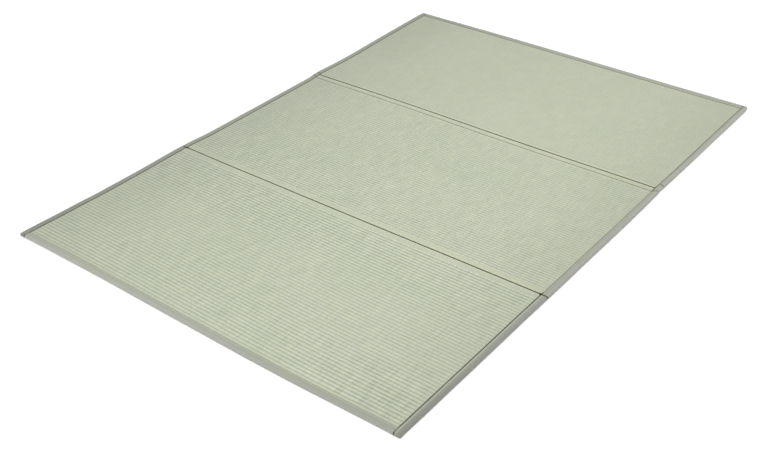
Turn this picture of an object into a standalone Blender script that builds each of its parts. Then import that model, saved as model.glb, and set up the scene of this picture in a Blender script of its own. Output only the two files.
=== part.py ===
"""Folding tatami mat, lying open and flat.

Two sewn units lie end to end. The near unit is one padded panel faced with its
own sheet of woven rush. The far unit is two panels under one sheet, sewn down
along both sides of a narrow hinge strip that wraps the thickness of the mat
when it is folded. A cloth tape binds every outer edge.

Metres, +Z up. X runs across the mat, Y along it, and the origin is on the
floor under the middle of the mat.
"""

import math
from collections import namedtuple

import bmesh
import bpy

# The mat
WIDTH = 1.400
LENGTH = 2.000
THICKNESS = 0.010

# Lengths along Y, from the near end to the far end
NEAR_PANEL = 0.648
MIDDLE_PANEL = 0.648
HINGE_STRIP = 0.024
FAR_PANEL = LENGTH - NEAR_PANEL - MIDDLE_PANEL - HINGE_STRIP

# The binding: a cloth tape folded round the edge, as wide below as above
TAPE_WIDTH = 0.021
TAPE_THICKNESS = 0.001
TOP_RADIUS = 0.0045
BOTTOM_RADIUS = 0.0025

# The rush turns down into a fold with this radius
FOLD_RADIUS = 0.003

# Free space between neighbouring pieces
CLEARANCE = 0.0003
ARC_STEPS = 5

# A panel's edge is thinner under the tape, so that both lie flush
TUCK = TAPE_THICKNESS + CLEARANCE

# Finish of each cloth: colour, and roughness
RUSH = ("rush", (0.55, 0.58, 0.45, 1.0), 0.75)
TAPE = ("binding", (0.34, 0.37, 0.31, 1.0), 0.90)

Run = namedtuple("Run", "name length near_end far_end")
RUNS = (
    Run("panel_near", NEAR_PANEL, "bound", "folded"),
    Run("panel_middle", MIDDLE_PANEL, "folded", "folded"),
    Run("hinge_strip", HINGE_STRIP, "folded", "folded"),
    Run("panel_far", FAR_PANEL, "folded", "bound"),
)

# A row of a rim: the distance in from the mat's outline or from the fold line,
# how far the top drops below the field there, and how far the underside lifts
Station = namedtuple("Station", "inset drop lift")

FOLD_LINE = -LENGTH / 2 + NEAR_PANEL
Binding = namedtuple("Binding", "name start end side tucked")
SIDE_BINDINGS = (
    Binding("binding_near_left", -LENGTH / 2, FOLD_LINE, -1, "near"),
    Binding("binding_near_right", -LENGTH / 2, FOLD_LINE, 1, "near"),
    Binding("binding_far_left", FOLD_LINE, LENGTH / 2, -1, "far"),
    Binding("binding_far_right", FOLD_LINE, LENGTH / 2, 1, "far"),
)
END_BINDINGS = (
    ("binding_near_end", -math.pi / 2),
    ("binding_far_end", math.pi / 2),
)


def clear_scene():
    for thing in list(bpy.data.objects):
        bpy.data.objects.remove(thing, do_unlink=True)


def cloth_material(name, colour, roughness):
    """A plain matt cloth."""
    material = bpy.data.materials.new(name)
    material.use_nodes = True
    shader = material.node_tree.nodes["Principled BSDF"]
    shader.inputs["Base Color"].default_value = colour
    shader.inputs["Roughness"].default_value = roughness
    shader.inputs["Metallic"].default_value = 0.0
    return material


def add_object(name, shape, finish, place, parent):
    """Turns a bmesh into a named object under the mat's empty."""
    mesh = bpy.data.meshes.new(name)
    bmesh.ops.recalc_face_normals(shape, faces=shape.faces)
    shape.to_mesh(mesh)
    shape.free()
    mesh.materials.append(finish)
    thing = bpy.data.objects.new(name, mesh)
    thing.location = place
    thing.parent = parent
    bpy.context.scene.collection.objects.link(thing)
    return thing


def rounding(distance, radius):
    """Depth of a rounded edge below its flat, at a distance in from the edge."""
    if distance >= radius:
        return 0.0
    return radius - math.sqrt(radius**2 - (radius - distance) ** 2)


def arc_distances(radius):
    """Distances in from a rounded edge, evenly spaced round its quarter arc."""
    turns = [0.5 * math.pi * step / ARC_STEPS for step in range(ARC_STEPS + 1)]
    return [radius * (1 - math.cos(turn)) for turn in turns]


def bound_rim():
    """Rim under a tape: a thin rounded tongue, then a step up to the field."""
    top = TOP_RADIUS - TUCK
    bottom = BOTTOM_RADIUS - TUCK
    rim = [
        Station(TUCK + inset, TUCK + rounding(inset, top), TUCK + rounding(inset, bottom))
        for inset in arc_distances(top)
    ]
    rim.append(Station(TAPE_WIDTH + CLEARANCE, TUCK, TUCK))
    rim.append(Station(TAPE_WIDTH + 2 * CLEARANCE, 0.0, 0.0))
    return rim


def folded_rim():
    """Rim at a fold: the rush turns down over a rounded upper edge."""
    return [
        Station(CLEARANCE / 2 + inset, rounding(inset, FOLD_RADIUS), 0.0)
        for inset in arc_distances(FOLD_RADIUS)
    ]


def across(length, first_rim, last_rim):
    """Positions along one direction, centred on zero, each with its station."""
    start = [(-length / 2 + station.inset, station) for station in first_rim]
    end = [(length / 2 - station.inset, station) for station in last_rim]
    return start + end[::-1]


def padded_slab(columns, rows):
    """A closed pad: a top and an underside on one grid, joined round the edge."""
    shape = bmesh.new()
    top = []
    underside = []
    for x, column in columns:
        upper = []
        lower = []
        for y, row in rows:
            drop = max(column.drop, row.drop)
            lift = max(column.lift, row.lift)
            upper.append(shape.verts.new((x, y, THICKNESS - drop)))
            lower.append(shape.verts.new((x, y, lift)))
        top.append(upper)
        underside.append(lower)
    for sheet in (top, underside):
        for this, following in zip(sheet, sheet[1:]):
            for corner in range(len(rows) - 1):
                shape.faces.new(
                    (this[corner], following[corner], following[corner + 1], this[corner + 1])
                )
    loops = [outline(sheet) for sheet in (top, underside)]
    bridge(shape, *loops)
    return shape


def outline(sheet):
    """The vertices round a grid's edge, in order."""
    first_side = [column[0] for column in sheet]
    last_side = [column[-1] for column in reversed(sheet)]
    return first_side + sheet[-1][1:-1] + last_side + sheet[0][-2:0:-1]


def bridge(shape, loop, other):
    """Joins two closed loops of the same count with quads."""
    for index in range(len(loop)):
        before = index - 1
        shape.faces.new((loop[before], loop[index], other[index], other[before]))


def rush_pads(finish, parent):
    """The three panels and the hinge strip, laid end to end from the near end."""
    rims = {"bound": bound_rim(), "folded": folded_rim()}
    start = -LENGTH / 2
    for run in RUNS:
        columns = across(WIDTH, rims["bound"], rims["bound"])
        rows = across(run.length, rims[run.near_end], rims[run.far_end])
        middle = start + run.length / 2
        add_object(run.name, padded_slab(columns, rows), finish, (0, middle, 0), parent)
        start += run.length


def lip(depth, mouth):
    """Section of the bound edge, at a depth inside the tape's outer skin.

    Points are (distance in from the outline, height), from the underside,
    round the outer edge and back over the top.
    """
    points = [(mouth, depth)]
    turns = [0.5 * math.pi * step / ARC_STEPS for step in range(ARC_STEPS + 1)]
    for turn in turns:
        reach = BOTTOM_RADIUS - depth
        points.append(
            (BOTTOM_RADIUS - reach * math.sin(turn), BOTTOM_RADIUS - reach * math.cos(turn))
        )
    for turn in turns:
        reach = TOP_RADIUS - depth
        points.append(
            (
                TOP_RADIUS - reach * math.cos(turn),
                THICKNESS - TOP_RADIUS + reach * math.sin(turn),
            )
        )
    points.append((mouth, THICKNESS - depth))
    return points


def prism(section, side, start, end):
    """A section pushed out along Y. Its outline faces +X, or -X if side is -1."""
    shape = bmesh.new()
    corners = [shape.verts.new((-side * inset, start, height)) for inset, height in section]
    face = shape.faces.new(corners)
    pushed = bmesh.ops.extrude_face_region(shape, geom=[face])["geom"]
    moved = [item for item in pushed if isinstance(item, bmesh.types.BMVert)]
    bmesh.ops.translate(shape, verts=moved, vec=(0, end - start, 0))
    return shape


def folded_tape(name, length, side, tucked, finish, place, parent):
    """A tape folded round the edge, hollowed for the panel that it holds.

    A tucked end is closed by the tape's own thickness, and other ends are open.
    """
    skin = prism(lip(0.0, TAPE_WIDTH), side, -length / 2, length / 2)
    tape = add_object(name, skin, finish, place, parent)

    overrun = TAPE_THICKNESS
    start = -length / 2 + (TAPE_THICKNESS if tucked == "near" else -overrun)
    end = length / 2 - (TAPE_THICKNESS if tucked == "far" else -overrun)
    inside = prism(lip(TAPE_THICKNESS, TAPE_WIDTH + overrun), side, start, end)
    cutter = add_object(name + "_inside", inside, finish, (0, 0, 0), tape)
    cutter.hide_render = True
    cutter.display_type = "WIRE"

    hollow = tape.modifiers.new("hollow", "BOOLEAN")
    hollow.operation = "DIFFERENCE"
    hollow.solver = "EXACT"
    hollow.object = cutter
    return tape


def bindings(finish, parent):
    """Side tapes for each sewn unit, and an end tape between them at each end."""
    for binding in SIDE_BINDINGS:
        start = binding.start + (0 if binding.tucked == "near" else CLEARANCE / 2)
        end = binding.end - (0 if binding.tucked == "far" else CLEARANCE / 2)
        place = (binding.side * WIDTH / 2, (start + end) / 2, 0)
        folded_tape(
            binding.name, end - start, binding.side, binding.tucked, finish, place, parent
        )
    between = WIDTH - 2 * (TAPE_WIDTH + CLEARANCE)
    for name, turn in END_BINDINGS:
        place = (0, math.copysign(LENGTH / 2, turn), 0)
        tape = folded_tape(name, between, 1, "neither", finish, place, parent)
        tape.rotation_euler.z = turn


def build():
    clear_scene()
    mat = bpy.data.objects.new("tatami_mat", None)
    bpy.context.scene.collection.objects.link(mat)
    rush_pads(cloth_material(*RUSH), mat)
    bindings(cloth_material(*TAPE), mat)


build()
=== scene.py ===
import math

import bpy
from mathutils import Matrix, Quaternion, Vector, noise


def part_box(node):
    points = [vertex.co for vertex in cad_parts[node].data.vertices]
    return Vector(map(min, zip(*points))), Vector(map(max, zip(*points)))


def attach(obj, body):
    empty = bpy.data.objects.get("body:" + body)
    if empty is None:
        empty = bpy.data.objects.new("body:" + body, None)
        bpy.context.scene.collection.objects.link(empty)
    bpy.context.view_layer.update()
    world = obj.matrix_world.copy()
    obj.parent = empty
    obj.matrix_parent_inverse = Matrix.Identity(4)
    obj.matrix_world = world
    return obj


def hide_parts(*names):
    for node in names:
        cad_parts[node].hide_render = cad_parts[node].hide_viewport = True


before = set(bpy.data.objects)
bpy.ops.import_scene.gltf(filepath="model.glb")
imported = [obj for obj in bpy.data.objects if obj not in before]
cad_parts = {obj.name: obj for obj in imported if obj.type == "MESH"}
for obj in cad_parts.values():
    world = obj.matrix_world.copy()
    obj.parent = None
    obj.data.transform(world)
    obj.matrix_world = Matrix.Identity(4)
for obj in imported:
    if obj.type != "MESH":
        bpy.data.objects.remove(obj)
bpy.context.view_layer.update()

# ----------------------------------------------------------------------------
# The rush panels. Each is a soft pad faced with woven rush: stems run along
# the mat and pass over and under pairs of warp threads, which draws them into
# ribs across it. The facing is drawn down at the binding and at every fold.
# ----------------------------------------------------------------------------

MM = 0.001
HALF_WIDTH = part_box("binding_far_right")[1].x
NEAR_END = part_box("binding_near_end")[0].y
FAR_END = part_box("binding_far_end")[1].y
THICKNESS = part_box("panel_near")[1].z
FOLD = (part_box("panel_near")[1].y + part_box("panel_middle")[0].y) / 2
SEAM_BEFORE = (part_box("panel_middle")[1].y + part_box("hinge_strip")[0].y) / 2
SEAM_AFTER = (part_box("hinge_strip")[1].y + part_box("panel_far")[0].y) / 2

RIB_DEPTH = 0.9 * MM
STEM_PITCH = 1.45 * MM
COLUMN_STEP = 15 * MM
# Lines of the mesh to a rib, as shares of its width from groove to groove
RIB_LINES = (0.0, 0.05, 0.13, 0.3, 0.5, 0.7, 0.87, 0.95)

# Distance in from the edge and height of the facing there, in millimetres
TUCKED = ((1.6, 5.4), (2.2, 6.8), (3.6, 7.4), (12.0, 7.4), (20.2, 7.4))
SIDE_RIM = TUCKED + ((21.2, 7.5), (22.2, 7.9), (23.0, 9.0), (24.0, 9.7), (26.0, 9.95), (29.0, 10.0))
NEAR_RIM = TUCKED + ((21.0, 8.4), (21.8, 9.2), (22.8, 9.6), (24.0, 9.8), (26.0, 9.95), (29.0, 10.0))
FAR_RIM = TUCKED + ((21.0, 7.9), (22.0, 8.8), (23.0, 9.4), (24.0, 9.8), (26.0, 9.95), (29.0, 10.0))
AT_FOLD = ((1.6, 1.5), (1.65, 5.0), (1.8, 8.0), (2.0, 9.2), (2.4, 9.8), (3.4, 10.0), (7.0, 10.0))
AT_SEAM = ((0.35, 4.6), (0.6, 6.4), (1.0, 8.0), (1.7, 9.2), (3.0, 9.8), (6.0, 10.0))
AT_CREASE = ((1.2, 3.6), (1.3, 6.0), (1.5, 7.9), (2.1, 9.1), (3.2, 9.8), (6.0, 10.0))
DEEP_RIMS = (AT_FOLD, AT_CREASE)

# Heights between which the facing passes out of shade: beside a gaping fold,
# beside a tape, and along the middle panel's right tape, which lies looser
SHADE_AT_GAP = (8.6 * MM, 9.9 * MM)
SHADE_AT_TAPE = (7.6 * MM, 9.3 * MM)
SHADE_AT_LOOSE_TAPE = (6.8 * MM, 8.6 * MM)

# Rings of the edge and underside below the facing: distance in at a bound
# side, distance in at a fold, and height, in millimetres
BELOW = ((1.6, 1.3, 1.2), (2.6, 1.4, 1.1), (21.3, 1.6, 1.0), (21.7, 1.9, 0.0))


def smooth(value, start, end):
    """0 before start, 1 after end, and eased between them."""
    share = min(1.0, max(0.0, (value - start) / (end - start)))
    return share * share * (3 - 2 * share)


def hump(value, start, end):
    """0 at start and end, and 1 half way between them."""
    return math.sin(math.pi * min(1.0, max(0.0, (value - start) / (end - start)))) ** 1.2


def left_edge(y, first_unit):
    """How far the left edge lies in from straight, in millimetres."""
    if first_unit:
        bow = 4.0 * smooth(y, -0.82, -0.70) * (1 - smooth(y, -0.58, -0.35))
        return bow - 5.0 * (1 - smooth(y, -0.985, -0.82))
    drawn_in = 0.8 + 6.8 * smooth(y, FOLD, -0.22) * (1 - smooth(y, 0.262, 0.345))
    return drawn_in + 4.8 * hump(y, SEAM_AFTER, 0.66) - 7.4 * smooth(y, 0.60, 0.97)


def right_edge(y, first_unit):
    """How far the right edge lies in from straight, in millimetres."""
    if first_unit:
        return 1.3 + 0.5 * hump(y, -0.62, -0.40)
    return 0.8 + 1.6 * hump(y, 0.22, 0.40)


def right_tuck(y, first_unit):
    """How far the mat's right outline alone is drawn in, in millimetres."""
    if first_unit:
        return 0.0
    drawn_in = 1.3 * smooth(y, 0.08, SEAM_BEFORE) + 1.6 * smooth(y, SEAM_BEFORE, SEAM_AFTER)
    return drawn_in + 5.0 * smooth(y, 0.972, 1.012)


def lie_across(x, y, first_unit):
    """How far the cloth lies to the right of its place, in millimetres."""
    left = left_edge(y, first_unit)
    right = -right_edge(y, first_unit)
    share = (x + HALF_WIDTH) / (2 * HALF_WIDTH)
    sideways = left + (right - left) * share
    inset = HALF_WIDTH - x
    sideways -= right_tuck(y, first_unit) * (1 - smooth(inset, 2 * MM, 16 * MM))
    # The right tape was folded a little narrow, and the far tape a little wide
    sideways += 1.9 * smooth(inset, 6 * MM, 18 * MM) * (1 - smooth(inset, 24 * MM, 90 * MM))
    return sideways + 0.3 * noise.noise(Vector((3.1, y * 5, 1.5 if first_unit else 8.2)))


def lie_along(x, y):
    """How far the cloth lies beyond its place, in millimetres. Between the ends
    and the seams, each uneven in its own way, it lies evenly spread."""
    at_near = 1.0 + 2.4 * math.cos(2 * math.pi * (x + 0.43) / 1.12) - 2.5 * hump(x, 0.08, 0.66)
    at_fold = 1.5 + 6.2 * x + 2.5 * smooth(-x, 0.45, 0.70) - 0.8 * hump(x, -0.3, 0.35)
    at_seam = 0.4 + 2.0 * math.cos(2 * math.pi * (x + 0.27) / 0.92)
    at_crease = at_seam - 1.3 * smooth(x, 0.15, 0.5)
    at_far = 6.0 - 15.0 * smooth(x, -0.42, 0.72)
    lines = ((NEAR_END, at_near), (FOLD, at_fold), (SEAM_BEFORE, at_seam), (SEAM_AFTER, at_crease))
    lines += ((FAR_END, at_far),)
    for (start, first), (end, last) in zip(lines, lines[1:]):
        if y <= end or end == FAR_END:
            lengthways = first + (last - first) * (y - start) / (end - start)
            break
    inset = FAR_END - y
    widening = 2.0 + 3.0 * smooth(x, -0.45, -0.20) + 1.5 * smooth(x, 0.30, 0.42)
    return lengthways - widening * smooth(inset, 6 * MM, 18 * MM) * (
        1 - smooth(inset, 24 * MM, 120 * MM)
    )


def drift(x, y, first_unit):
    """Where the cloth lies in plan: its edges and seams are a little uneven."""
    return Vector((x + lie_across(x, y, first_unit) * MM, y + lie_along(x, y) * MM, 0))


def select_none():
    if bpy.context.mode != "OBJECT":
        bpy.ops.object.mode_set(mode="OBJECT")
    bpy.ops.object.select_all(action="DESELECT")


def new_grid(name, across, along):
    """A flat grid with its vertices' column and row numbers."""
    select_none()
    bpy.ops.mesh.primitive_grid_add(
        x_subdivisions=across, y_subdivisions=along, size=2, calc_uvs=False
    )
    piece = bpy.context.object
    piece.name = piece.data.name = name
    places = [
        (round((vertex.co.x + 1) / 2 * across), round((vertex.co.y + 1) / 2 * along))
        for vertex in piece.data.vertices
    ]
    return piece, places


def mark(piece, name, values):
    """Stores a number at each vertex, for the piece's material."""
    layer = piece.data.attributes.new(name, "FLOAT", "POINT")
    layer.data.foreach_set("value", values)


def smooth_shading(piece, angle):
    select_none()
    piece.select_set(True)
    bpy.context.view_layer.objects.active = piece
    bpy.ops.object.shade_smooth_by_angle(angle=math.radians(angle), keep_sharp_edges=False)


def edge_rows(profile, edge, inwards, pressed):
    """Rows of the facing beside an edge: place, height and rib relief."""
    return [
        (edge + inwards * inset * MM, height * MM, pressed * smooth(inset, 3, 9))
        for inset, height in profile
    ]


def ending_rib(distance, flat):
    """Relief beside a flat band: the last groove is drawn down the most."""
    groove = 0.5 * math.exp(-(((distance - flat) / (3.5 * MM)) ** 2))
    return 0.15 + 0.85 * smooth(distance, flat - 4 * MM, flat) + groove


def rib_rows(start, end, ribs, flat_start, flat_end):
    """Rows over a run of ribs, whose relief fades over a flat band at each end."""
    rows = []
    pitch = (end - start) / ribs
    for rib in range(ribs):
        for share in RIB_LINES:
            y = start + pitch * (rib + share)
            relief = 1.0
            if flat_start:
                relief = ending_rib(y - start, flat_start)
            if flat_end and end - y < 2 * flat_end:
                relief = ending_rib(end - y, flat_end)
            rows.append((y, THICKNESS, relief))
    return rows


def facing_height(x, y, rib, relief, inset):
    """How far the facing stands from its level, by ribs and soft unevenness."""
    groove = abs(2 * (rib % 1.0) - 1) ** 3
    tone = 1 + 0.5 * noise.noise(Vector((x * 20, math.floor(rib) * 0.9, 4.0)))
    swell = noise.noise(Vector((x * 3.2, y * 4.1, 2.0))) + 0.4 * noise.noise(
        Vector((x * 11, y * 13, 7.0))
    )
    fade = smooth(inset, 21 * MM, 60 * MM)
    return -RIB_DEPTH * groove * relief * tone + 0.35 * MM * swell * fade


def rib_wander(x, y):
    """How far the ribs' lines lie from straight, along the mat."""
    return 1.3 * MM * noise.noise(Vector((x * 3.0, y * 4.0, 11.0))) + 0.35 * MM * noise.noise(
        Vector((x * 16, y * 9.0, 23.0))
    )


def proudness(x, y):
    """How much prouder the ribs stand than on average: most beside the fold and
    at the near right corner, least half way along the near panel."""
    proud = 1 + (0.25 - 0.15 * smooth(x, -0.3, 0.3)) * (1 - smooth(abs(y - FOLD), 0.08, 0.30))
    proud -= 0.16 * hump(y, -0.86, -0.48)
    return proud + 0.25 * smooth(x, 0.1, 0.6) * (1 - smooth(y, -0.95, -0.75))


def rush_pad(name, start, end, near_rim, far_rim, ribs, weave, bands, column_step):
    """One pad: its ribbed facing, then its edge and underside drawn down."""
    first_unit = end <= FOLD + MM
    near_reach = near_rim[-1][0] * MM
    far_reach = far_rim[-1][0] * MM
    rows = edge_rows(near_rim, start, 1, 0.25)
    rows += rib_rows(start + near_reach + MM, end - far_reach - MM, ribs, *bands)
    rows += edge_rows(far_rim, end, -1, 0.25)[::-1]
    side = [(inset * MM, height * MM) for inset, height in SIDE_RIM]
    reach = side[-1][0]
    count = round((2 * HALF_WIDTH - 2 * reach) / column_step)
    step = (2 * HALF_WIDTH - 2 * reach) / count
    columns = [(-HALF_WIDTH + inset, height) for inset, height in side]
    columns += [(-HALF_WIDTH + reach + step * place, THICKNESS) for place in range(1, count)]
    columns += [(HALF_WIDTH - inset, height) for inset, height in side[::-1]]

    pitch = (end - start - near_reach - far_reach - 2 * MM) / ribs
    piece, places = new_grid(name, len(columns) - 1, len(rows) - 1)
    spots = []
    rib_marks = []
    relief_marks = []
    painted_shade_marks = []
    painted_highlight_marks = []
    for column, row in places:
        x, column_height = columns[column]
        y, row_height, relief = rows[row]
        inset = HALF_WIDTH - abs(x)
        rib = (y - start - near_reach - MM) / pitch
        relief *= weave * proudness(x, y) * (0.45 + 0.55 * smooth(inset, 22 * MM, 36 * MM))
        height = min(column_height, row_height)
        height += facing_height(x, y, rib, relief, inset) * smooth(height, 8.5 * MM, THICKNESS)
        from_deep = [y - start] if near_rim in DEEP_RIMS else []
        from_deep += [end - y] if far_rim in DEEP_RIMS else []
        from_deep = min(from_deep) if from_deep else 1.0
        inside = min(y - start, end - y)
        y += rib_wander(x, y) * smooth(inside, 2 * MM, 30 * MM)
        # Beside the tape the facing's corner is pulled back from the fold
        pull = 3.6 * MM * (1 - smooth(inset, 20.5 * MM, 31 * MM))
        if far_rim is AT_FOLD:
            y -= pull * (1 - smooth(end - y, 0, 16 * MM))
        if near_rim is AT_FOLD:
            y += pull * (1 - smooth(y - start, 0, 16 * MM))
        spots += (*drift(x, y, first_unit).xy, height)
        rib_marks.append(rib)
        relief_marks.append(relief)
        # Painted shade: the facing is darkened where it dips low, beside a fold, a seam or a tape
        gaping = from_deep < 10 * MM or (first_unit and HALF_WIDTH - x < 26 * MM)
        shade_ends = SHADE_AT_GAP if gaping else SHADE_AT_TAPE
        if near_rim is AT_FOLD and x > 0 and not gaping:
            shade_ends = SHADE_AT_LOOSE_TAPE
        painted_shade_marks.append(1 - smooth(height, *shade_ends))
        # Painted highlight along the rim a few millimetres from a fold or crease
        painted_highlight_marks.append(math.exp(-(((from_deep - 6.5 * MM) / (3.0 * MM)) ** 2)))
    piece.data.vertices.foreach_set("co", spots)
    mark(piece, "rib", rib_marks)
    mark(piece, "relief", relief_marks)
    mark(piece, "depth", painted_shade_marks)
    mark(piece, "pale", painted_highlight_marks)

    bpy.ops.object.mode_set(mode="EDIT")
    bpy.ops.mesh.select_mode(type="EDGE")
    bpy.ops.mesh.select_all(action="SELECT")
    bpy.ops.mesh.region_to_loop()
    half = HALF_WIDTH - SIDE_RIM[0][0] * MM
    first = start + near_rim[0][0] * MM
    last = end - far_rim[0][0] * MM
    for bound_inset, fold_inset, height in BELOW:
        near_inset = bound_inset if near_rim is NEAR_RIM else fold_inset
        far_inset = bound_inset if far_rim is FAR_RIM else fold_inset
        new_half = HALF_WIDTH - bound_inset * MM
        new_first = start + near_inset * MM
        new_last = end - far_inset * MM
        bpy.ops.mesh.extrude_edges_move()
        bpy.ops.object.mode_set(mode="OBJECT")
        for vertex in piece.data.vertices:
            if vertex.select:
                share = (vertex.co.y - first) / (last - first)
                vertex.co.x *= new_half / half
                vertex.co.y += (new_first - first) * (1 - share) + (new_last - last) * share
                vertex.co.z = height * MM
                if height == 0.0:
                    # The underside is cloth in plain light, and not a shaded groove
                    for shade in ("depth", "pale"):
                        piece.data.attributes[shade].data[vertex.index].value = 0.0
        bpy.ops.object.mode_set(mode="EDIT")
        half, first, last = new_half, new_first, new_last
    bpy.ops.mesh.edge_face_add()
    bpy.ops.mesh.select_all(action="SELECT")
    bpy.ops.mesh.normals_make_consistent(inside=False)
    bpy.ops.object.mode_set(mode="OBJECT")
    smooth_shading(piece, 60)
    return piece


# Places of a colour mix's sockets among all that the Mix node has
MIX_SHARE, MIX_FIRST, MIX_SECOND, MIX_COLOUR = 0, 6, 7, 2


class Wire:
    """An output of a material's nodes, which can be used in sums."""

    def __init__(self, tree, output=None):
        self.tree = tree
        self.output = output

    def node(self, kind, settings, sockets, output=0):
        """Adds a node, sets it up, fills its sockets, and returns one output."""
        made = self.tree.nodes.new(kind)
        for name, value in settings.items():
            setattr(made, name, value)
        for name, value in sockets.items():
            if isinstance(value, Wire):
                self.tree.links.new(value.output, made.inputs[name])
            else:
                made.inputs[name].default_value = value
        return Wire(self.tree, made.outputs[output])

    def maths(self, operation, first, second=0.0):
        return self.node("ShaderNodeMath", {"operation": operation}, {0: first, 1: second})

    def __add__(self, other):
        return self.maths("ADD", self, other)

    def __radd__(self, other):
        return self.maths("ADD", other, self)

    def __sub__(self, other):
        return self.maths("SUBTRACT", self, other)

    def __rsub__(self, other):
        return self.maths("SUBTRACT", other, self)

    def __mul__(self, other):
        return self.maths("MULTIPLY", self, other)

    def __rmul__(self, other):
        return self.maths("MULTIPLY", other, self)

    def __truediv__(self, other):
        return self.maths("DIVIDE", self, other)

    def __mod__(self, other):
        return self.maths("MODULO", self, other)

    def __pow__(self, other):
        return self.maths("POWER", self, other)

    def __abs__(self):
        return self.maths("ABSOLUTE", self)

    def floor(self):
        return self.maths("FLOOR", self)

    def wave(self):
        """Sine of an angle in turns, from -1 to 1."""
        return self.maths("SINE", self * (2 * math.pi))

    def between(self, start, end):
        """0 at start, 1 at end, and eased between them."""
        sockets = {"Value": self, "From Min": start, "From Max": end, "To Min": 0.0, "To Max": 1.0}
        return self.node("ShaderNodeMapRange", {"interpolation_type": "SMOOTHSTEP"}, sockets)

    def place(self, x, y, z=0.0):
        return self.node("ShaderNodeCombineXYZ", {}, {"X": x, "Y": y, "Z": z})

    def cloud(self, place, scale, detail=2.0):
        """Soft noise, about 0.5 on average."""
        sockets = {"Vector": place, "Scale": scale, "Detail": detail, "Roughness": 0.55}
        return self.node("ShaderNodeTexNoise", {"noise_dimensions": "3D"}, sockets)

    def mark(self, name):
        """A number that a piece stores at its vertices."""
        return self.node("ShaderNodeAttribute", {"attribute_name": name}, {}, "Fac")

    def grey(self, bright):
        channels = {"Red": bright, "Green": bright, "Blue": bright}
        return self.node("ShaderNodeCombineColor", {}, channels)

    def chance(self, place):
        """A number from 0 to 1 that is steady for each whole place."""
        return self.node("ShaderNodeTexWhiteNoise", {"noise_dimensions": "3D"}, {"Vector": place})

    def dye(self, share, first, second, blend="MIX"):
        """A colour between two others."""
        settings = {"data_type": "RGBA", "blend_type": blend}
        sockets = {MIX_SHARE: share, MIX_FIRST: first, MIX_SECOND: second}
        return self.node("ShaderNodeMix", settings, sockets, MIX_COLOUR)


def new_cloth(name, sheen):
    """An empty cloth material, its node tree and its shader."""
    material = bpy.data.materials.new(name)
    material.use_nodes = True
    shader = material.node_tree.nodes["Principled BSDF"]
    shader.inputs["Sheen Weight"].default_value = sheen
    shader.inputs["Sheen Roughness"].default_value = 0.5
    shader.inputs["Specular IOR Level"].default_value = 0.35
    return material, Wire(material.node_tree), shader


def finish_cloth(cloth, shader, colour, roughness, height, depth):
    """Joins a cloth's colour, roughness and relief to its shader."""
    relief = cloth.node(
        "ShaderNodeBump", {}, {"Strength": 1.0, "Distance": depth, "Height": height}, "Normal"
    )
    tree = cloth.tree
    tree.links.new(colour.output, shader.inputs["Base Color"])
    tree.links.new(roughness.output, shader.inputs["Roughness"])
    tree.links.new(relief.output, shader.inputs["Normal"])


RUSH_GREEN = (0.444, 0.486, 0.382, 1.0)
RUSH_GREY = (0.470, 0.500, 0.408, 1.0)
RUSH_STRAW = (0.494, 0.514, 0.364, 1.0)
RUSH_SHADOW = (0.20, 0.22, 0.13, 1.0)
RUSH_PAINTED_SHADE = (0.045, 0.047, 0.014, 1.0)


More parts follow.
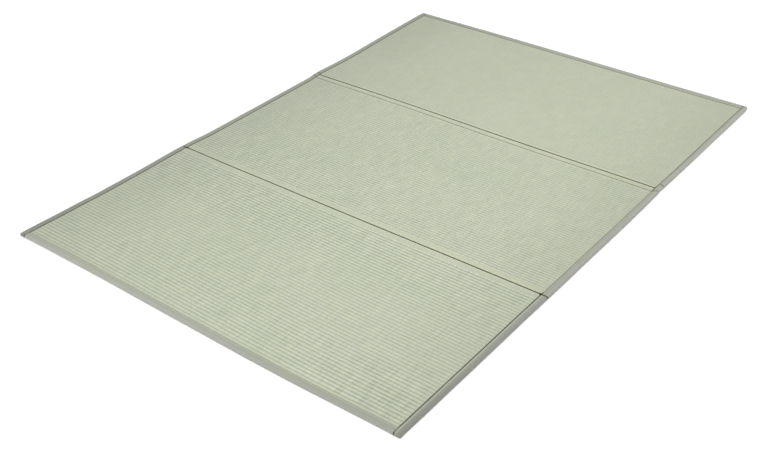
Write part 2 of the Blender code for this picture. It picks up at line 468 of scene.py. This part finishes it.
def woven_rush():
    """Dried rush: fine stems over ribs, from grey green to straw."""
    material, cloth, shader = new_cloth("woven_rush", 0.15)
    spot = cloth.node("ShaderNodeTexCoord", {}, {}, "Object")
    x = cloth.node("ShaderNodeSeparateXYZ", {}, {"Vector": spot}, "X")
    y = cloth.node("ShaderNodeSeparateXYZ", {}, {"Vector": spot}, "Y")
    rib = cloth.mark("rib")
    relief = cloth.mark("relief")
    depth = cloth.mark("depth")
    pale = cloth.mark("pale")

    # Stems that pass over one rib pass under the next. Crown is 1 on top of a
    # rib and 0 in its groove, and roundness does the same across a stem
    rib_number = rib.floor()
    odd = abs(rib_number % 2.0)
    sway = cloth.cloud(spot, 14.0) * 1.6
    stem = x / STEM_PITCH + odd * 0.5 + sway
    stem_number = stem.floor()
    across_stem = stem - stem_number
    across_rib = rib - rib_number
    roundness = 1 - abs(across_stem * 2 - 1) ** 2.0
    crown = 1 - abs(across_rib * 2 - 1) ** 3.0

    # Unevenness, from single stems to patches a hand wide
    each_stem = cloth.chance(cloth.place(stem_number * 2 + odd, 0.0, 3.0))
    along_stem = cloth.cloud(cloth.place(stem_number * 2 + odd, y * 9, 5.0), 1.0)
    patches = cloth.cloud(spot, 3.2, 3.0)
    mottle = cloth.cloud(spot, 26.0, 3.0)
    freckle = cloth.cloud(cloth.place(x * 380, y * 110, 9.0), 1.0).between(0.64, 0.78)
    glint = cloth.cloud(cloth.place(x * 300, y * 95, 31.0), 1.0).between(0.62, 0.76)
    bundles = cloth.cloud(cloth.place(x * 130, y * 16, 44.0), 1.0)

    greener = cloth.dye(patches.between(0.35, 0.65), RUSH_GREEN, RUSH_GREY)
    straw = each_stem.between(0.55, 1.0) * 0.35 + mottle.between(0.45, 0.75) * 0.35
    # The facing's flat band is sun-bleached past the fold, towards the right
    sunned = x.between(-0.1, 0.6) * y.between(FOLD - MM, FOLD + MM)
    straw = straw + (1 - relief) * 0.30 + (1 - relief).between(0.5, 0.85) * sunned * 0.50
    colour = cloth.dye(straw, greener, RUSH_STRAW)
    # Painted shade darkens each rib's groove, patchily along it, and the partings between stems
    patchy_rib_shading = cloth.cloud(cloth.place(x * 16, rib_number * 0.8, 17.0), 1.0, 2.0)
    fine_groove_shading = cloth.cloud(cloth.place(x * 85, rib_number * 1.7, 3.0), 1.0)
    groove = (1 - crown) * relief * (0.10 + patchy_rib_shading * 0.65 + fine_groove_shading * 0.6) + (1 - roundness) * 0.16
    colour = cloth.dye(groove, colour, RUSH_SHADOW)
    # Painted shade in the folds, the seams and the creases beside the tapes
    colour = cloth.dye(depth, colour, RUSH_PAINTED_SHADE)
    # Painted highlight: each rib's crown is lightened, patchily along it
    bright = 0.80 + along_stem * 0.13 + mottle * 0.07 + crown * relief * (0.06 + patchy_rib_shading * 0.08)
    # Single stems stand out most where the weave is deep
    spread = relief * relief * 1.3
    bright = bright + spread * (glint * 0.24 - freckle * 0.26 + (bundles - 0.5) * 0.36) + 0.08
    # Painted highlight beside the folds; painted shade darkens the facing towards its left and
    # right sides
    bright = bright + pale * 0.08 - abs(x).between(0.40, 0.70) * 0.06
    colour = cloth.dye(1.0, colour, cloth.grey(bright), "MULTIPLY")

    roughness = 0.50 + groove * 0.35 + along_stem * 0.14
    height = roundness * (0.45 + 0.55 * crown) + along_stem * 0.5
    finish_cloth(cloth, shader, colour, roughness, height, 0.35 * MM)
    return material


rush = woven_rush()

# Name, node, start, end, rims there, ribs, depth of the weave, flat bands
# beside the start and end, and the step between columns of the mesh
PADS = (
    (
        "rush_panel_near", "panel_near", NEAR_END, FOLD, NEAR_RIM, AT_FOLD,
        51, 0.88, (0, 18 * MM), COLUMN_STEP,
    ),
    (
        "rush_panel_middle", "panel_middle", FOLD, SEAM_BEFORE, AT_FOLD, AT_SEAM,
        58, 0.8, (17 * MM, 6 * MM), COLUMN_STEP,
    ),
    (
        "rush_hinge_strip", "hinge_strip", SEAM_BEFORE, SEAM_AFTER, AT_SEAM, AT_CREASE,
        1, 0.6, (4 * MM, 4 * MM), 5 * MM,
    ),
    (
        "rush_panel_far", "panel_far", SEAM_AFTER, FAR_END, AT_CREASE, FAR_RIM,
        60, 0.55, (8 * MM, 0), COLUMN_STEP,
    ),
)
for name, node, *making in PADS:
    piece = rush_pad(name, *making)
    piece.data.materials.append(rush)
    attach(piece, "root")
    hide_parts(node)

# ----------------------------------------------------------------------------
# The binding. A cotton tape is folded round the edge of each sewn unit, its
# raw edge turned under, and stitched through all the layers near that edge.
# Its ends at the corners and at the fold are turned in and closed.
# ----------------------------------------------------------------------------

# The tape's skin from its edge below, round the mat's edge, to its edge on
# top: distance in, height, and thickness of the cloth there, in millimetres
TAPE_SKIN = (
    (20.6, 0.30, 0.7), (20.0, 0.02, 0.9), (17.0, 0.0, 0.9), (12.0, 0.0, 0.9), (6.0, 0.0, 0.9),
    (2.5, 0.0, 0.9), (1.25, 0.33, 0.9), (0.33, 1.25, 0.9), (0.0, 2.5, 0.9), (0.0, 4.0, 0.9),
    (0.0, 5.5, 0.9), (0.34, 7.22, 0.9), (1.32, 8.68, 0.9), (2.78, 9.66, 0.9), (4.5, 10.0, 0.9),
    (7.0, 10.05, 0.9), (10.0, 10.0, 0.9), (12.4, 9.95, 0.9), (13.6, 10.1, 1.8),
    (15.4, 10.1, 1.9), (17.0, 9.85, 1.9), (17.9, 9.5, 1.7), (18.5, 9.3, 1.5), (19.1, 9.5, 1.7),
    (19.9, 9.55, 1.8), (20.6, 9.25, 1.6), (20.9, 8.6, 0.9),
)
TAPE_MIDDLE = 4.7 * MM
END_ROUND = 3.4 * MM
ROW_STEP = 5 * MM
CREASE_STEP = 1.6 * MM


def inner_skin():
    """The inside of the cloth: the skin moved in by its thickness."""
    points = []
    for index, (inset, height, thick) in enumerate(TAPE_SKIN):
        before = TAPE_SKIN[max(0, index - 1)]
        after = TAPE_SKIN[min(len(TAPE_SKIN) - 1, index + 1)]
        run = Vector((after[0] - before[0], after[1] - before[1])).normalized()
        points.append((inset + run.y * thick, height - run.x * thick))
    return points


def tape_rows(length, creased):
    """Distances along a tape, closer together at its ends and over creases."""
    fine = [0.0, 0.12, 0.4, 0.9, 1.5, 2.3, 3.4]
    rows = [distance * MM for distance in fine]
    stops = [END_ROUND, *creased, length - END_ROUND]
    steps = [ROW_STEP, CREASE_STEP, ROW_STEP] if creased else [ROW_STEP]
    for start, end, step in zip(stops, stops[1:], steps):
        count = round((end - start) / step)
        rows += [start + (end - start) * number / count for number in range(1, count + 1)]
    rows += [length - distance * MM for distance in fine[-2::-1]]
    return rows


def seam_creases(side, inset):
    """Where the strip's two seams crease the tape, and how deeply."""
    outward = 1 - min(1.0, inset / (21 * MM))
    if side > 0:
        return (
            (SEAM_BEFORE + (3 + 12 * outward) * MM, 1.0),
            (SEAM_AFTER + (29 - 5 * outward * outward) * MM, 1.0),
        )
    return (SEAM_BEFORE + 7 * MM, 0.8), (SEAM_AFTER + (8 + 4 * outward) * MM, 0.8)


def end_shade(distance, kind, inset, height):
    """How far a tape's end is in shade: all of it where it meets the next tape
    at the fold or runs under one, and its inner and lower edges at a corner."""
    if kind == "fold":
        return 1 - smooth(distance, 0.9 * MM, 2.8 * MM)
    if kind == "open":
        return 1 - smooth(distance, 0.4 * MM, 1.6 * MM)
    shade = 1 - smooth(distance, 1.8 * MM, 4.6 * MM)
    return shade * max(smooth(inset, 16, 20), 1 - smooth(height, 2.2, 5.6))


def folded_tape(name, length, lay, ends, tones, seed, draw, creased):
    """A tape folded round the edge. lay() turns a distance along it, a distance
    in from the outline and a height into a point of the mat, and draw() says how
    far the seams draw it in there."""
    inside = inner_skin()
    loop = [(inset, height, 0.0) for inset, height, thick in TAPE_SKIN]
    loop += [(inset, height, 1.0) for inset, height in inside[::-1]]
    loop.append(loop[0])
    girth = [0.0]
    for before, after in zip(TAPE_SKIN, TAPE_SKIN[1:]):
        girth.append(girth[-1] + math.dist(before[:2], after[:2]) * MM)
    girths = girth + girth[::-1] + girth[:1]
    rows = tape_rows(length, creased)
    last = len(rows) - 1
    outer_tones, hem_tones = tones

    piece, places = new_grid(name, len(loop) - 1, last)
    spots = []
    along_marks = []
    girth_marks = []
    tone_marks = []
    painted_shade_marks = []
    for column, row in places:
        inset, height, inner = loop[column]

        # Tone changes along the tape. Painted shade darkens it low down, near the floor, and a
        # painted highlight lightens it on a pucker
        way = smooth(rows[row] / length, 0.0, 1.0)
        outer_tone = outer_tones[0] + (outer_tones[1] - outer_tones[0]) * way
        hem_tone = hem_tones[0] + (hem_tones[1] - hem_tones[0]) * way
        outer_tone *= 1 - 0.24 * (1 - smooth(height, 0.5, 5.5))
        crease, pucker_up = draw(rows[row], inset * MM)
        tone = outer_tone + (hem_tone - outer_tone) * smooth(inset, 9, 15)
        tone_marks.append(tone * (1 + 0.10 * pucker_up))

        # Shade lies inside the tape, at its inner edge and ends, and in creases
        at_edge = smooth(inset, 20.2, 20.8) * smooth(height, 5, 7)
        near_shade = end_shade(rows[row], ends[0], inset, height)
        far_shade = end_shade(length - rows[row], ends[1], inset, height)
        crease_shade = crease * smooth(height, 5, 8)
        painted_shade_marks.append(max(at_edge, inner, near_shade, far_shade, crease_shade))

        # The hem ripples, the stitches pull at it, and the edges waver in plan
        inset *= MM
        height *= MM
        along = rows[row]
        from_end = min(along, length - along)
        pucker = noise.noise(Vector((along * 95 + seed, 0.3, 0.0)))
        ripple = noise.noise(Vector((along * 30 + seed, inset * 160, 5.0)))
        top = smooth(height, 7 * MM, 9 * MM)
        sewn = math.exp(-(((inset - STITCH_INSET) / (3.5 * MM)) ** 2))
        height += top * (0.16 * MM * ripple + 0.22 * MM * pucker * sewn)
        height += top * (0.45 * pucker_up - 1.1 * crease) * MM
        waver = noise.noise(Vector((along * 7 + seed, 9.0, 2.0)))
        slack = noise.noise(Vector((along * 26 + seed, 4.0, 2.0)))
        inset += 0.55 * MM * waver * (1 - smooth(inset, 2 * MM, 16 * MM))
        inset += (0.5 * MM * waver + 0.3 * MM * slack) * smooth(inset, 12 * MM, 18 * MM)

        # A turned-in end closes half way up. An open one runs under its neighbour
        if from_end < END_ROUND:
            share = 1 - from_end / END_ROUND
            near = along < length / 2
            if ends[0 if near else 1] != "open":
                close = math.sqrt(max(0.0, 1 - share * share))
                height = TAPE_MIDDLE + (height - TAPE_MIDDLE) * close
                inset += (1 - close) * 1.6 * MM * (1 - smooth(inset, 0, 12 * MM))
                shift = 0.9 * MM * inner * share
                along += shift if near else -shift
            else:
                height -= top * 1.0 * MM * share * share
                if row in (0, last):
                    outer = TAPE_SKIN[min(column, len(loop) - 2 - column)]
                    other = inside[min(column, len(loop) - 2 - column)]
                    inset = (outer[0] + other[0]) / 2 * MM
                    height = (outer[1] + other[1]) / 2 * MM
                    height -= smooth(height, 7 * MM, 9 * MM) * 1.0 * MM

        spots += lay(along, inset, height)
        along_marks.append(rows[row])
        girth_marks.append(girths[column])
    piece.data.vertices.foreach_set("co", spots)
    mark(piece, "along", along_marks)
    mark(piece, "girth", girth_marks)
    mark(piece, "tone", tone_marks)
    mark(piece, "depth", painted_shade_marks)
    bpy.ops.object.mode_set(mode="EDIT")
    bpy.ops.mesh.select_all(action="SELECT")
    bpy.ops.mesh.remove_doubles(threshold=0.01 * MM)
    bpy.ops.mesh.normals_make_consistent(inside=False)
    bpy.ops.object.mode_set(mode="OBJECT")
    smooth_shading(piece, 60)
    return piece


def side_lay(side, start, first_unit):
    """Lays a tape along the left (-1) or right (1) side from a start."""

    def lay(along, inset, height):
        y = start + along
        x = side * (HALF_WIDTH - inset)
        return (*drift(x, y, first_unit).xy, height)

    return lay


def no_draw(along, inset):
    """For a tape that crosses no seam."""
    return 0.0, 0.0


def seam_draw(side, start):
    """How far the strip's seams crease a side tape, and pucker it beyond."""

    def draw(along, inset):
        y = start + along
        crease = 0.0
        pucker_up = 0.0
        for middle, strength in seam_creases(side, inset):
            crease += strength * math.exp(-(((y - middle) / (1.9 * MM)) ** 2))
            pucker_up += strength * math.exp(-(((y - middle - 6 * MM) / (3.5 * MM)) ** 2))
        return crease, pucker_up

    return draw


def end_lay(end, start):
    """Lays a tape along the near (-1) or far (1) end from a start."""

    def lay(along, inset, height):
        x = start + along
        y = (FAR_END if end > 0 else NEAR_END) - end * inset
        return (*drift(x, y, end < 0).xy, height)

    return lay


TAPE_GREEN = (0.343, 0.362, 0.298, 1.0)
TAPE_OLIVE = (0.358, 0.368, 0.288, 1.0)
TAPE_BLUE = (0.326, 0.356, 0.316, 1.0)
TAPE_RUBBED = (0.366, 0.374, 0.345, 1.0)
TAPE_EDGE = (0.372, 0.352, 0.335, 1.0)
TAPE_SHADOW = (0.16, 0.18, 0.12, 1.0)
TAPE_PAINTED_SHADE = (0.040, 0.042, 0.022, 1.0)
THREAD_PITCH = 0.75 * MM
# Girth is measured round the skin from its edge below: to the middle of the
# mat's rounded upper edge, and to the step where the turned-under hem begins
GIRTH_AT_EDGE = 27.0 * MM
GIRTH_AT_HEM = 39.7 * MM


def cotton_tape(name):
    """Grey green cotton in plain weave, paler where it is rubbed."""
    material, cloth, shader = new_cloth(name, 0.25)
    along = cloth.mark("along")
    girth = cloth.mark("girth")
    tone = cloth.mark("tone")
    depth = cloth.mark("depth")
    spot = cloth.place(along, girth)
    warp = (girth / THREAD_PITCH).wave()
    weft = (along / THREAD_PITCH).wave()
    weave = warp * weft * 0.5 + 0.5
    # Slubs are threads' thick places. Lengths and patches are uneven dyeing
    slub = cloth.cloud(cloth.place(along * 160, girth * 1900, 2.0), 1.0)
    cross_slub = cloth.cloud(cloth.place(along * 1900, girth * 160, 8.0), 1.0)
    lengths = cloth.cloud(cloth.place(along, 0.0, 6.0), 6.0, 3.0)
    patches = cloth.cloud(spot, 60.0, 3.0)
    colour = cloth.dye(lengths.between(0.38, 0.62), TAPE_OLIVE, TAPE_GREEN)
    colour = cloth.dye(patches.between(0.45, 0.7) * 0.6, colour, TAPE_BLUE)
    rubbed = 1 - abs(girth - GIRTH_AT_EDGE).between(3.0 * MM, 9.0 * MM)
    colour = cloth.dye(rubbed * (0.3 + slub * 0.6), colour, TAPE_RUBBED)
    lower_half = 1 - girth.between(GIRTH_AT_EDGE - 4 * MM, GIRTH_AT_EDGE + MM)
    colour = cloth.dye(lower_half * 0.8, colour, TAPE_EDGE)
    groove = 1 - abs(girth - GIRTH_AT_HEM).between(0.0, 1.6 * MM)
    shade = groove * 0.35 + (1 - weave) * 0.10
    colour = cloth.dye(shade, colour, TAPE_SHADOW)
    # Painted shade inside the tape, at its inner edge and ends, and in creases
    colour = cloth.dye(depth, colour, TAPE_PAINTED_SHADE)
    bright = tone * (0.86 + slub * 0.14 + cross_slub * 0.10 + patches * 0.06)
    colour = cloth.dye(1.0, colour, cloth.grey(bright), "MULTIPLY")
    roughness = 0.82 + patches * 0.14
    height = weave * 0.6 + slub * 0.3 + cross_slub * 0.3
    finish_cloth(cloth, shader, colour, roughness, height, 0.25 * MM)
    return material


STITCH_PITCH = 5.2 * MM
STITCH_SIZE = (1.75 * MM, 0.36 * MM, 0.30 * MM)
STITCH_INSET = 18.5 * MM
# A tape isn't stitched this close to its ends
BARE_END = 6 * MM


def sewing_thread():
    """Spun cotton thread: two plies twisted together, a shade paler than the tape."""
    material, cloth, shader = new_cloth("sewing_thread", 0.2)
    spot = cloth.node("ShaderNodeTexCoord", {}, {}, "Object")
    x = cloth.node("ShaderNodeSeparateXYZ", {}, {"Vector": spot}, "X")
    y = cloth.node("ShaderNodeSeparateXYZ", {}, {"Vector": spot}, "Y")
    ply = ((x + y) / (0.7 * MM)).wave() * 0.5 + 0.5
    fuzz = cloth.cloud(spot, 900.0)
    colour = cloth.dye(fuzz, THREAD_GREEN, THREAD_PALE)
    colour = cloth.dye((1 - ply) * 0.4, colour, TAPE_SHADOW)
    finish_cloth(cloth, shader, colour, 0.7 + fuzz * 0.2, ply, 0.12 * MM)
    return material


def stitch_row(name, tape, length, lay):
    """Lockstitches along the hem of a tape, each sunk a little into it."""
    count = int((length - 2 * BARE_END) / STITCH_PITCH)
    select_none()
    bpy.ops.mesh.primitive_uv_sphere_add(segments=6, ring_count=4, radius=1)
    row = bpy.context.object
    row.name = row.data.name = name
    bpy.ops.object.mode_set(mode="EDIT")
    bpy.ops.mesh.select_all(action="SELECT")
    bpy.ops.transform.rotate(value=math.pi / 2, orient_axis="Y", center_override=(0, 0, 0))
    bpy.ops.transform.resize(value=STITCH_SIZE, center_override=(0, 0, 0))
    bpy.ops.object.mode_set(mode="OBJECT")
    repeat = row.modifiers.new("repeat", "ARRAY")
    repeat.count = count
    repeat.use_relative_offset = False
    repeat.use_constant_offset = True
    repeat.constant_offset_displace = (STITCH_PITCH, 0, 0)
    bpy.ops.object.modifier_apply(modifier="repeat")
    first = (length - STITCH_PITCH * (count - 1)) / 2
    levels = {}
    for vertex in row.data.vertices:
        number = round(vertex.co.x / STITCH_PITCH)
        if number not in levels:
            middle = lay(first + number * STITCH_PITCH, STITCH_INSET, THICKNESS)
            above = (middle[0], middle[1], 5 * THICKNESS)
            found, hit, normal, face = tape.ray_cast(above, (0, 0, -1))
            levels[number] = hit.z
        x, y, z = lay(first + vertex.co.x, STITCH_INSET + vertex.co.y, 0.0)
        vertex.co = (x, y, levels[number] + vertex.co.z)
    bpy.ops.object.mode_set(mode="EDIT")
    bpy.ops.mesh.select_all(action="SELECT")
    bpy.ops.mesh.normals_make_consistent(inside=False)
    bpy.ops.object.mode_set(mode="OBJECT")
    bpy.ops.object.shade_smooth()
    return row


THREAD_GREEN = (0.42, 0.44, 0.36, 1.0)
THREAD_PALE = (0.52, 0.54, 0.45, 1.0)

cotton = cotton_tape("cotton_tape")
thread = sewing_thread()
# Each tape stops this far from the line of the fold
GAP = 0.15 * MM
near_length = FOLD - NEAR_END - GAP
far_length = FAR_END - FOLD - GAP
far_start = FOLD + GAP
CREASED = (SEAM_BEFORE - 8 * MM - far_start, SEAM_AFTER + 46 * MM - far_start)
INNER_EDGE = 21.3 * MM
end_start = INNER_EDGE - HALF_WIDTH
end_length = -2 * end_start

# Name, length, lay, ends, tone of the outer part and of the hem (each at the
# start and the end), how seams draw it in, and where the creases are
TAPES = (
    (
        "near_left", near_length, side_lay(-1, NEAR_END, True), ("corner", "fold"),
        ((0.70, 0.78), (0.68, 0.735)), no_draw, (),
    ),
    (
        "near_right", near_length, side_lay(1, NEAR_END, True), ("corner", "fold"),
        ((0.62, 0.75), (0.93, 0.97)), no_draw, (),
    ),
    (
        "far_left", far_length, side_lay(-1, far_start, False), ("fold", "corner"),
        ((0.83, 0.86), (0.80, 0.83)), seam_draw(-1, far_start), CREASED,
    ),
    (
        "far_right", far_length, side_lay(1, far_start, False), ("fold", "corner"),
        ((0.90, 1.02), (0.87, 0.88)), seam_draw(1, far_start), CREASED,
    ),
    (
        "near_end", end_length, end_lay(-1, end_start), ("open", "open"),
        ((1.03, 0.85), (1.03, 0.94)), no_draw, (),
    ),
    (
        "far_end", end_length, end_lay(1, end_start), ("open", "open"),
        ((0.90, 0.97), (0.87, 0.95)), no_draw, (),
    ),
)
for number, (name, length, lay, ends, tones, draw, creased) in enumerate(TAPES):
    tape = folded_tape("tape_" + name, length, lay, ends, tones, 10.0 * number, draw, creased)
    tape.data.materials.append(cotton)
    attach(tape, "root")
    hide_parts("binding_" + name)
    stitches = stitch_row("stitches_" + name, tape, length, lay)
    stitches.data.materials.append(thread)
    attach(stitches, "root")

# ----------------------------------------------------------------------------
# The room: a plain pale floor, soft light from all round with one wide lamp
# in front, and the camera.
# ----------------------------------------------------------------------------

select_none()
bpy.ops.mesh.primitive_plane_add(size=24, location=(0, 0, -0.2 * MM))
floor = bpy.context.object
floor.name = "floor"
paint = bpy.data.materials.new("pale_floor")
paint.use_nodes = True
floor_shader = paint.node_tree.nodes["Principled BSDF"]
floor_shader.inputs["Base Color"].default_value = (0.96, 0.96, 0.96, 1.0)
floor_shader.inputs["Roughness"].default_value = 0.9
floor_shader.inputs["Specular IOR Level"].default_value = 0.1
# Away from the mat the floor glows a little, like a studio's lit background
ground = Wire(paint.node_tree)
ground_spot = ground.node("ShaderNodeTexCoord", {}, {}, "Object")
far_away = ground.node("ShaderNodeVectorMath", {"operation": "LENGTH"}, {0: ground_spot}, "Value")
glow = ground.dye(far_away.between(1.0, 1.75), (0.15, 0.15, 0.15, 1.0), (1.0, 1.0, 1.0, 1.0))
paint.node_tree.links.new(glow.output, floor_shader.inputs["Emission Color"])
floor_shader.inputs["Emission Strength"].default_value = 0.36
floor.data.materials.append(paint)

world = bpy.data.worlds.new("studio")
world.use_nodes = True
world.node_tree.nodes["Background"].inputs["Color"].default_value = (1.0, 1.0, 1.0, 1.0)
world.node_tree.nodes["Background"].inputs["Strength"].default_value = 0.605
bpy.context.scene.world = world
bpy.context.scene.view_settings.view_transform = "Standard"

# Name, kind, place, size of the panel or width of the sun, and power
LAMPS = (
    ("overhead_lamp", "AREA", (0.26, -0.68, 1.2), (1.6, 4.5), 22.9),
    ("front_lamp", "SUN", (1.4, -3.0, 2.4), 0.45, 0.9),
)
for name, kind, place, size, power in LAMPS:
    lamp = bpy.data.lights.new(name, kind)
    stand = bpy.data.objects.new(name, lamp)
    stand.location = place
    if kind == "SUN":
        lamp.angle = size
        stand.rotation_euler = Vector(place).to_track_quat("Z", "Y").to_euler()
    else:
        lamp.shape = "RECTANGLE"
        lamp.size, lamp.size_y = size
    lamp.energy = power
    stand.visible_camera = False
    bpy.context.scene.collection.objects.link(stand)

CAMERA_AIM = Vector((0.12823, -0.32466, 0.0))
CAMERA_TURN = math.radians(38.743)
CAMERA_LIFT = math.radians(33.714)
CAMERA_ROLL = math.radians(-1.391)
CAMERA_DISTANCE = 3.27387
back = Vector(
    (
        math.sin(CAMERA_TURN) * math.cos(CAMERA_LIFT),
        -math.cos(CAMERA_TURN) * math.cos(CAMERA_LIFT),
        math.sin(CAMERA_LIFT),
    )
)
view = bpy.data.cameras.new("camera")
view.sensor_width = 36
view.lens = 52.05
view.clip_end = 60
camera = bpy.data.objects.new("camera", view)
camera.location = CAMERA_AIM + CAMERA_DISTANCE * back
camera.rotation_mode = "QUATERNION"
camera.rotation_quaternion = back.to_track_quat("Z", "Y") @ Quaternion((0, 0, 1), CAMERA_ROLL)
bpy.context.scene.collection.objects.link(camera)
bpy.context.scene.camera = camera
